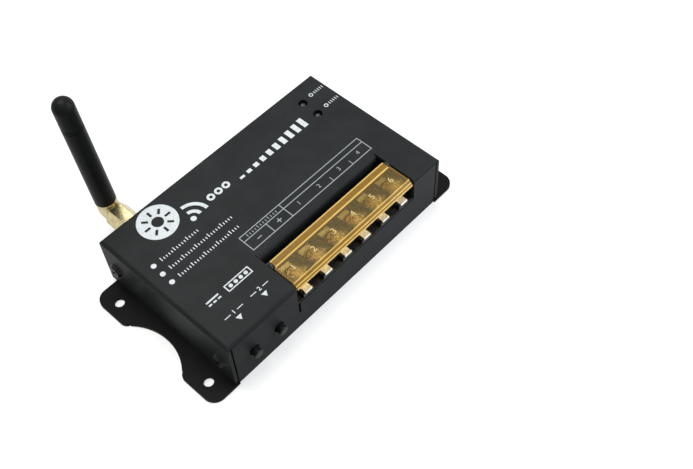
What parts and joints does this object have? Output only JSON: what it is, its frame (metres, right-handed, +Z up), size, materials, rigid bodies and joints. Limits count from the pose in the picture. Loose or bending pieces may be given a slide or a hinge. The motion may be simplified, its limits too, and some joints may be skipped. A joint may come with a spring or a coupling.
{
  "type": "led strip controller",
  "caption": "Flat black metal control box for LED strips, with mounting ears, a covered screw terminal strip, push-buttons and a right-angle stub antenna.",
  "frame": {"origin": "centre of the four mounting holes, on the surface that the case is fixed to", "axes": "+X along the case, from the push-buttons' end to the indicator lamps' end; +Y from the terminals to the antenna; +Z up, away from the mounting surface"},
  "size_m": [0.1218, 0.0856, 0.0691],
  "materials": {
    "case_paint": "semi-matt black powder coat with white print on the top",
    "black_screw": "black oxide",
    "insulation": "thin insulating film",
    "standoff_brass": "plain brass",
    "zinc_steel": "zinc plated",
    "board_green": "green solder mask",
    "block_black": "black moulding",
    "contact_nickel": "warm nickel plate",
    "clamp_nickel": "warm nickel plate",
    "screw_nickel": "warm nickel plate",
    "lid_amber": "clear amber moulding",
    "button_black": "black moulding",
    "switch_black": "black moulding",
    "lamp_clear": "clear lens",
    "spacer_white": "white moulding",
    "gold": "gold plated",
    "insulator_white": "white fluoropolymer",
    "sleeve_black": "soft black moulding",
    "copper": "copper",
    "lead_grey": "grey jacket",
    "module_blue": "blue solder mask",
    "chip_black": "moulded package",
    "can_sleeve": "shrink sleeve",
    "ferrite": "ferrite",
    "fuse_glass": "glass tube",
    "chip_ceramic": "fired ceramic"
  },
  "bodies": {
    "case": {"base_tray": "case_paint", "cover": "case_paint", "cover_screws": "black_screw", "insulation_sheet": "insulation", "board_standoffs": "standoff_brass", "circuit_board": "board_green", "board_screws": "zinc_steel", "terminal_block": "block_black", "contact_plates": "contact_nickel", "switch_bodies": "switch_black", "lamp_power": "lamp_clear", "lamp_signal": "lamp_clear", "lamp_spacers": "spacer_white", "antenna_jack": "gold", "jack_insulator": "insulator_white", "jack_contact": "gold", "jack_washer": "gold", "jack_nut": "gold", "coax_lead": "lead_grey", "radio_module": "module_blue", "radio_shield": "zinc_steel", "microcontroller": "chip_black", "output_transistors": "chip_black", "voltage_regulator": "chip_black", "storage_capacitors": "can_sleeve", "power_inductor": "ferrite", "fuse": "fuse_glass", "fuse_clips": "zinc_steel", "crystal": "zinc_steel", "chip_parts": "chip_ceramic"},
    "lid": {"terminal_lid": "lid_amber"},
    "button_a": {"button_1": "button_black"},
    "button_b": {"button_2": "button_black"},
    "coupling": {"coupling_nut": "gold"},
    "antenna": {"antenna_elbow": "gold", "antenna_pin": "gold", "antenna_sleeve": "sleeve_black", "antenna_core": "copper"},
    "clamp_1": {"wire_clamp_1": "clamp_nickel"},
    "screw_1": {"terminal_screw_1": "screw_nickel"},
    "clamp_2": {"wire_clamp_2": "clamp_nickel"},
    "screw_2": {"terminal_screw_2": "screw_nickel"},
    "clamp_3": {"wire_clamp_3": "clamp_nickel"},
    "screw_3": {"terminal_screw_3": "screw_nickel"},
    "clamp_4": {"wire_clamp_4": "clamp_nickel"},
    "screw_4": {"terminal_screw_4": "screw_nickel"},
    "clamp_5": {"wire_clamp_5": "clamp_nickel"},
    "screw_5": {"terminal_screw_5": "screw_nickel"},
    "clamp_6": {"wire_clamp_6": "clamp_nickel"},
    "screw_6": {"terminal_screw_6": "screw_nickel"}
  },
  "joints": [
    {"name": "lid_hinge", "type": "hinge", "parent": "case", "child": "lid", "pos_m": [0.0085, -0.0175, 0.0222], "axis": [-1, 0, 0], "range_deg": [0, 110]},
    {"name": "button_a_press", "type": "slide", "parent": "case", "child": "button_a", "axis": [0, 1, 0], "range_m": [0, 0.0005], "stiffness_N_per_m": 2000, "springref_m": -0.0004},
    {"name": "button_b_press", "type": "slide", "parent": "case", "child": "button_b", "axis": [0, 1, 0], "range_m": [0, 0.0005], "stiffness_N_per_m": 2000, "springref_m": -0.0004},
    {"name": "antenna_swivel", "type": "hinge", "parent": "case", "child": "antenna", "pos_m": [-0.0356, 0.0494, 0.0117], "axis": [0, 1, 0], "range_deg": [-85, 90]},
    {"name": "coupling_turn", "type": "hinge", "parent": "case", "child": "coupling", "pos_m": [-0.0356, 0.0404, 0.0117], "axis": [0, 1, 0], "range_deg": [0, 180]},
    {"name": "clamp_1_lift", "type": "slide", "parent": "case", "child": "clamp_1", "axis": [0, 0, 1], "range_m": [0, 0.0018]},
    {"name": "screw_1_turn", "type": "hinge", "parent": "clamp_1", "child": "screw_1", "pos_m": [-0.01525, -0.023, 0.0196], "axis": [0, 0, 1], "range_deg": [0, 1085]},
    {"name": "clamp_2_lift", "type": "slide", "parent": "case", "child": "clamp_2", "axis": [0, 0, 1], "range_m": [0, 0.0018]},
    {"name": "screw_2_turn", "type": "hinge", "parent": "clamp_2", "child": "screw_2", "pos_m": [-0.00575, -0.023, 0.0196], "axis": [0, 0, 1], "range_deg": [0, 1085]},
    {"name": "clamp_3_lift", "type": "slide", "parent": "case", "child": "clamp_3", "axis": [0, 0, 1], "range_m": [0, 0.0018]},
    {"name": "screw_3_turn", "type": "hinge", "parent": "clamp_3", "child": "screw_3", "pos_m": [0.00375, -0.023, 0.0196], "axis": [0, 0, 1], "range_deg": [0, 1085]},
    {"name": "clamp_4_lift", "type": "slide", "parent": "case", "child": "clamp_4", "axis": [0, 0, 1], "range_m": [0, 0.0018]},
    {"name": "screw_4_turn", "type": "hinge", "parent": "clamp_4", "child": "screw_4", "pos_m": [0.01325, -0.023, 0.0196], "axis": [0, 0, 1], "range_deg": [0, 1085]},
    {"name": "clamp_5_lift", "type": "slide", "parent": "case", "child": "clamp_5", "axis": [0, 0, 1], "range_m": [0, 0.0018]},
    {"name": "screw_5_turn", "type": "hinge", "parent": "clamp_5", "child": "screw_5", "pos_m": [0.02275, -0.023, 0.0196], "axis": [0, 0, 1], "range_deg": [0, 1085]},
    {"name": "clamp_6_lift", "type": "slide", "parent": "case", "child": "clamp_6", "axis": [0, 0, 1], "range_m": [0, 0.0018]},
    {"name": "screw_6_turn", "type": "hinge", "parent": "clamp_6", "child": "screw_6", "pos_m": [0.03225, -0.023, 0.0196], "axis": [0, 0, 1], "range_deg": [0, 1085]}
  ],
  "couplings": [
    {"joint": "screw_1_turn", "follows": "clamp_1_lift", "rad_per_m": 10472},
    {"joint": "screw_2_turn", "follows": "clamp_2_lift", "rad_per_m": 10472},
    {"joint": "screw_3_turn", "follows": "clamp_3_lift", "rad_per_m": 10472},
    {"joint": "screw_4_turn", "follows": "clamp_4_lift", "rad_per_m": 10472},
    {"joint": "screw_5_turn", "follows": "clamp_5_lift", "rad_per_m": 10472},
    {"joint": "screw_6_turn", "follows": "clamp_6_lift", "rad_per_m": 10472}
  ]
}
